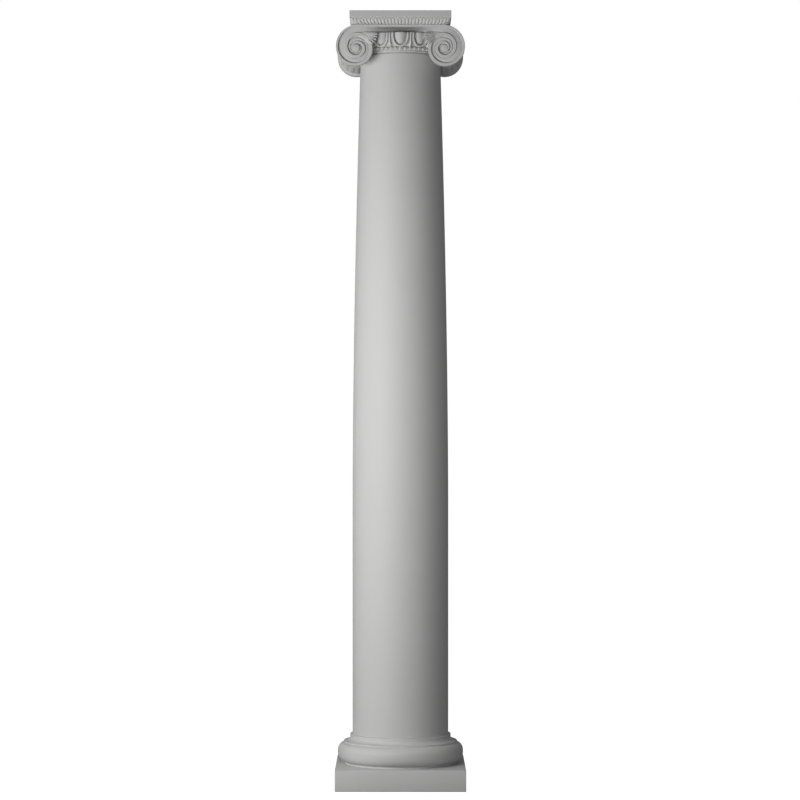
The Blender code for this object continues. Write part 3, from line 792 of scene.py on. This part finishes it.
angles = np.arange(EGGS * EGG_POINTS) * (2 * np.pi / (EGGS * EGG_POINTS))
phase = ((angles + math.pi / 2) * EGGS / (2 * math.pi) + 0.5) % 1 - 0.5
along = phase * 2 * math.pi * RIM_RADIUS / EGGS
carved_drop = ECHINUS_RIM - ECHINUS_FOOT - EGG_TOP
drops = [EGG_TOP + carved_drop * i / ECHINUS_STEPS for i in range(ECHINUS_STEPS + 1)]
echinus_walls = [(carved_radius(along, drop), ECHINUS_RIM - drop) for drop in drops[::-1]]
echinus_walls += [(ECHINUS_BORE, ECHINUS_RIM - EGG_TOP), (ECHINUS_BORE, ECHINUS_FOOT)]
echinus_rings = []
for radius, z in echinus_walls:
    x = radius * np.cos(angles)
    y = radius * np.sin(angles)
    echinus_rings.append(np.stack([x, y, np.full_like(angles, z)], axis=-1))
echinus = mesh_piece("echinus", skinned(echinus_rings, ends="joined"), carved_finish, crease=60)
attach(echinus, "root")
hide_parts("capital")


# Astragal: a ring of beads, with two thin reels between each pair, on a plain collar that sits
# on the neck of the shaft. It is the lowest part of the cast capital.
BEADS = 56
BEAD_RADIUS = 0.0055
BEAD_RING = 0.1326
BEAD_MIDDLE = 0.31
COLLAR_RADIUS = 0.1312
COLLAR_HEIGHT = 0.0075
BEAD_LIFT = 0.0018
COLLAR_GAP = 0.0020
COLLAR_EDGE = 0.001
COLLAR_BORE = 0.115
BEAD_SIDES = 12

bead = [(0.0, 0.50), (0.02, 0.65), (0.06, 0.78), (0.13, 0.92), (0.22, 0.98), (0.31, 1.0),
        (0.40, 0.98), (0.49, 0.92), (0.56, 0.78), (0.60, 0.65), (0.62, 0.50)]
reels = [(0.66, 0.50), (0.67, 0.80), (0.75, 0.80), (0.76, 0.50),
         (0.86, 0.50), (0.87, 0.80), (0.95, 0.80), (0.96, 0.50)]
bead_height = ECHINUS_FOOT - BEAD_RADIUS + BEAD_LIFT
bead_rings = []
for number in range(BEADS):
    for share, size in bead + reels:
        turn = 2 * math.pi * (number + share - BEAD_MIDDLE) / BEADS
        ring = []
        for i in range(BEAD_SIDES):
            around = 2 * math.pi * i / BEAD_SIDES
            radius = BEAD_RING + BEAD_RADIUS * size * math.cos(around)
            height = bead_height + BEAD_RADIUS * size * math.sin(around)
            ring.append((radius * math.cos(turn), radius * math.sin(turn), height))
        bead_rings.append(ring)
beads = mesh_piece("bead_ring", skinned(bead_rings, ends="joined"), carved_finish, crease=50)
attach(beads, "root")
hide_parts("capital")

collar_top = NECK_HEIGHT + COLLAR_HEIGHT
socket = shaft_radius(NECK_HEIGHT) + JOINT
collar_foot = NECK_HEIGHT + COLLAR_GAP
collar_inset = COLLAR_RADIUS - COLLAR_EDGE
collar_head = ECHINUS_FOOT + COLLAR_EDGE
socket_top = NECK_HEIGHT + SOCKET_DEPTH
collar_profile = [(socket, collar_foot), (COLLAR_RADIUS, collar_foot),
                  (COLLAR_RADIUS, collar_top - COLLAR_EDGE), (collar_inset, collar_top),
                  (collar_inset, collar_head), (COLLAR_BORE, collar_head),
                  (COLLAR_BORE, socket_top), (socket, socket_top)]
collar = mesh_piece("collar", skinned(turned_rings(collar_profile), ends="joined"), carved_finish)
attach(collar, "root")
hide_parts("capital")


# Palmettes: half palmettes that spring from the inner angle of each scroll and spread over the
# outer eggs. Each has five lobes with a hollow along their middles, cast on one web behind them.
LOBE_ANGLES = (2, 15, 28, 41, 54)
LOBE_LENGTHS = (0.0415, 0.0420, 0.0415, 0.0405, 0.0390)
LOBE_WIDTH = 0.0068
LOBE_DEPTH = 0.0105
LOBE_ROOT = 0.30
LOBE_WIDEST = 0.68
LOBE_HOLLOW = 0.30
HOLLOW_WIDTH = 0.35
LOBE_TIP_LENGTH = 0.325
LOBE_TIP_LEAST = 0.004
LOBE_STEPS = 18
LOBE_SIDES = 20
ROOT_IN = 0.0258
ROOT_UP = 0.0435
ROOT_Y = 0.1325
TIP_Y = 0.1420
WEB_TIPS = 0.0385
WEB_RISE = 0.0010
WEB_BACK = 0.095
WEB_ANCHOR = (0.120, 2.345, 0.1325)
WEB_START = (0.131, 2.3718, 0.1370)
WEB_END = (0.0755, 2.3718, 0.1415)


def lobe_rings(root, droop, side, length):
    """Rings of one lobe from its narrow root to its round tip."""
    along = Vector((-side * math.cos(droop), 0, -math.sin(droop)))
    across = Vector((-side * math.sin(droop), 0, math.cos(droop)))
    rings = []
    for i in range(LOBE_STEPS + 1):
        share = i / LOBE_STEPS
        width = LOBE_ROOT + (1 - LOBE_ROOT) * math.sin(math.pi / 2 * min(share / LOBE_WIDEST, 1.0))
        if share > LOBE_WIDEST:
            width *= math.sqrt(max(LOBE_TIP_LEAST, 1 - ((share - LOBE_WIDEST) / LOBE_TIP_LENGTH) ** 2))
        ring = []
        for k in range(LOBE_SIDES):
            around = 2 * math.pi * k / LOBE_SIDES
            sideways = math.cos(around) * LOBE_WIDTH / 2 * width
            out = math.sin(around) * LOBE_DEPTH * (0.5 + 0.5 * width)
            if out > 0:
                out *= 1 - LOBE_HOLLOW * math.exp(-(math.cos(around) / HOLLOW_WIDTH) ** 2) * width
            place = root + along * length * share + across * sideways
            ring.append((place, out + (TIP_Y - ROOT_Y) * share))
        rings.append(ring)
    return rings


for face in (-1, 1):
    for side in (-1, 1):
        shape = bmesh.new()
        root = Vector((side * (EYE_X - ROOT_IN), face * ROOT_Y, EYE_HEIGHT + ROOT_UP))
        for droop, length in zip(LOBE_ANGLES, LOBE_LENGTHS):
            verts = []
            for ring in lobe_rings(root, math.radians(droop), side, length):
                verts.append([shape.verts.new(point + Vector((0, face * out, 0))) for point, out in ring])
            for near, far in zip(verts[:-1], verts[1:]):
                for k in range(len(near)):
                    after = (k + 1) % len(near)
                    shape.faces.new((near[k], near[after], far[after], far[k]))
            shape.faces.new(verts[0])
            shape.faces.new(verts[-1][::-1])
        fan = [WEB_ANCHOR, WEB_START, WEB_END]
        for droop in LOBE_ANGLES:
            turn = math.radians(droop)
            tip_x = EYE_X - ROOT_IN - WEB_TIPS * math.cos(turn)
            fan.append((tip_x, root.z - WEB_TIPS * math.sin(turn), TIP_Y))
        front = [shape.verts.new((side * x, face * (y + WEB_RISE), z)) for x, z, y in fan]
        back = [shape.verts.new((side * x, face * WEB_BACK, z)) for x, z, y in fan]
        for k in range(len(fan)):
            after = (k + 1) % len(fan)
            shape.faces.new((front[k], front[after], back[after], back[k]))
        for k in range(1, len(fan) - 1):
            shape.faces.new((front[0], front[k], front[k + 1]))
            shape.faces.new((back[0], back[k + 1], back[k]))
        name = f"palmette_{'front' if face < 0 else 'back'}_{'left' if side < 0 else 'right'}"
        palmette = mesh_piece(name, shape, carved_finish, crease=60)
        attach(palmette, "root")
        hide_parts("capital")
